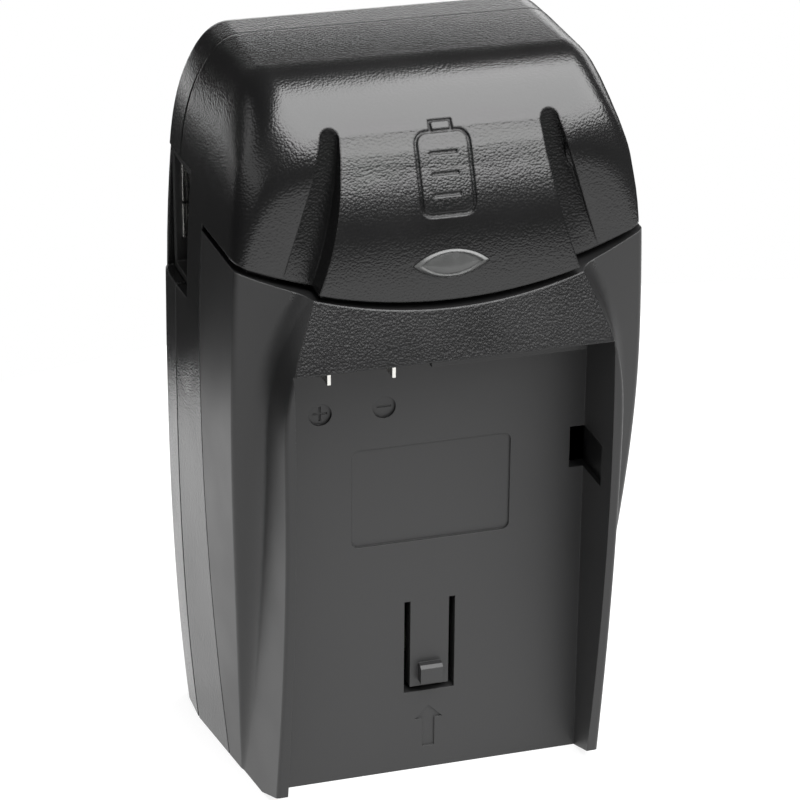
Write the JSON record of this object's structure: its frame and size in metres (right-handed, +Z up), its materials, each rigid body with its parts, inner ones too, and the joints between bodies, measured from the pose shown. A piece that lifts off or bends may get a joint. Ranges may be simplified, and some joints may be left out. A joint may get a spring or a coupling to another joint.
{
  "type": "camera battery charger",
  "caption": "Upright wall charger with a rounded dome, an open sliding pocket for a camera battery, a side input socket and a folding mains plug on the back.",
  "frame": {"origin": "centre of the base, on the surface that the charger stands on", "axes": "+Z up, +Y from the battery pocket towards the back with the plug, +X to the right seen from the front"},
  "size_m": [0.055, 0.0384, 0.095],
  "materials": {
    "case_plastic": "fine leather grain, semi-gloss black",
    "plate_plastic": "smooth satin dark grey",
    "lens_plastic": "translucent smoke grey",
    "led_resin": "milky resin",
    "contact_metal": "bright nickel plate",
    "socket_plastic": "matt black",
    "carrier_plastic": "satin black",
    "prong_metal": "bright nickel-plated brass",
    "spring_metal": "spring bronze",
    "board_laminate": "green solder mask",
    "ferrite": "matt dark grey ferrite",
    "winding_tape": "yellow polyester tape",
    "can_sleeve": "shrink sleeve",
    "chip_resin": "moulded black resin",
    "fuse_body": "lacquered green",
    "disc_coating": "blue lacquer",
    "screw_steel": "zinc-plated steel"
  },
  "bodies": {
    "case": {"battery_plate": "plate_plastic", "board_screws": "screw_steel", "case_screws": "screw_steel", "circuit_board": "board_laminate", "control_chip": "chip_resin", "front_shell": "case_plastic", "fuse": "fuse_body", "input_choke": "ferrite", "interference_capacitor": "disc_coating", "mains_capacitor": "can_sleeve", "negative_contact": "contact_metal", "output_capacitor": "can_sleeve", "plug_retainer": "carrier_plastic", "positive_contact": "contact_metal", "prong_spring_left": "spring_metal", "prong_spring_right": "spring_metal", "rear_shell": "case_plastic", "rectifier": "chip_resin", "retainer_screws": "screw_steel", "socket_body": "socket_plastic", "socket_contact_lower": "contact_metal", "socket_contact_upper": "contact_metal", "status_led": "led_resin", "status_lens": "lens_plastic", "transformer_bobbin": "carrier_plastic", "transformer_core": "ferrite", "transformer_winding": "winding_tape"},
    "plug": {"prong_carrier": "carrier_plastic", "prong_left": "prong_metal", "prong_right": "prong_metal"}
  },
  "joints": [
    {"name": "plug_fold", "type": "hinge", "parent": "case", "child": "plug", "pos_m": [0, 0.01485, 0.06], "axis": [1, 0, 0], "range_deg": [0, 90]}
  ]
}
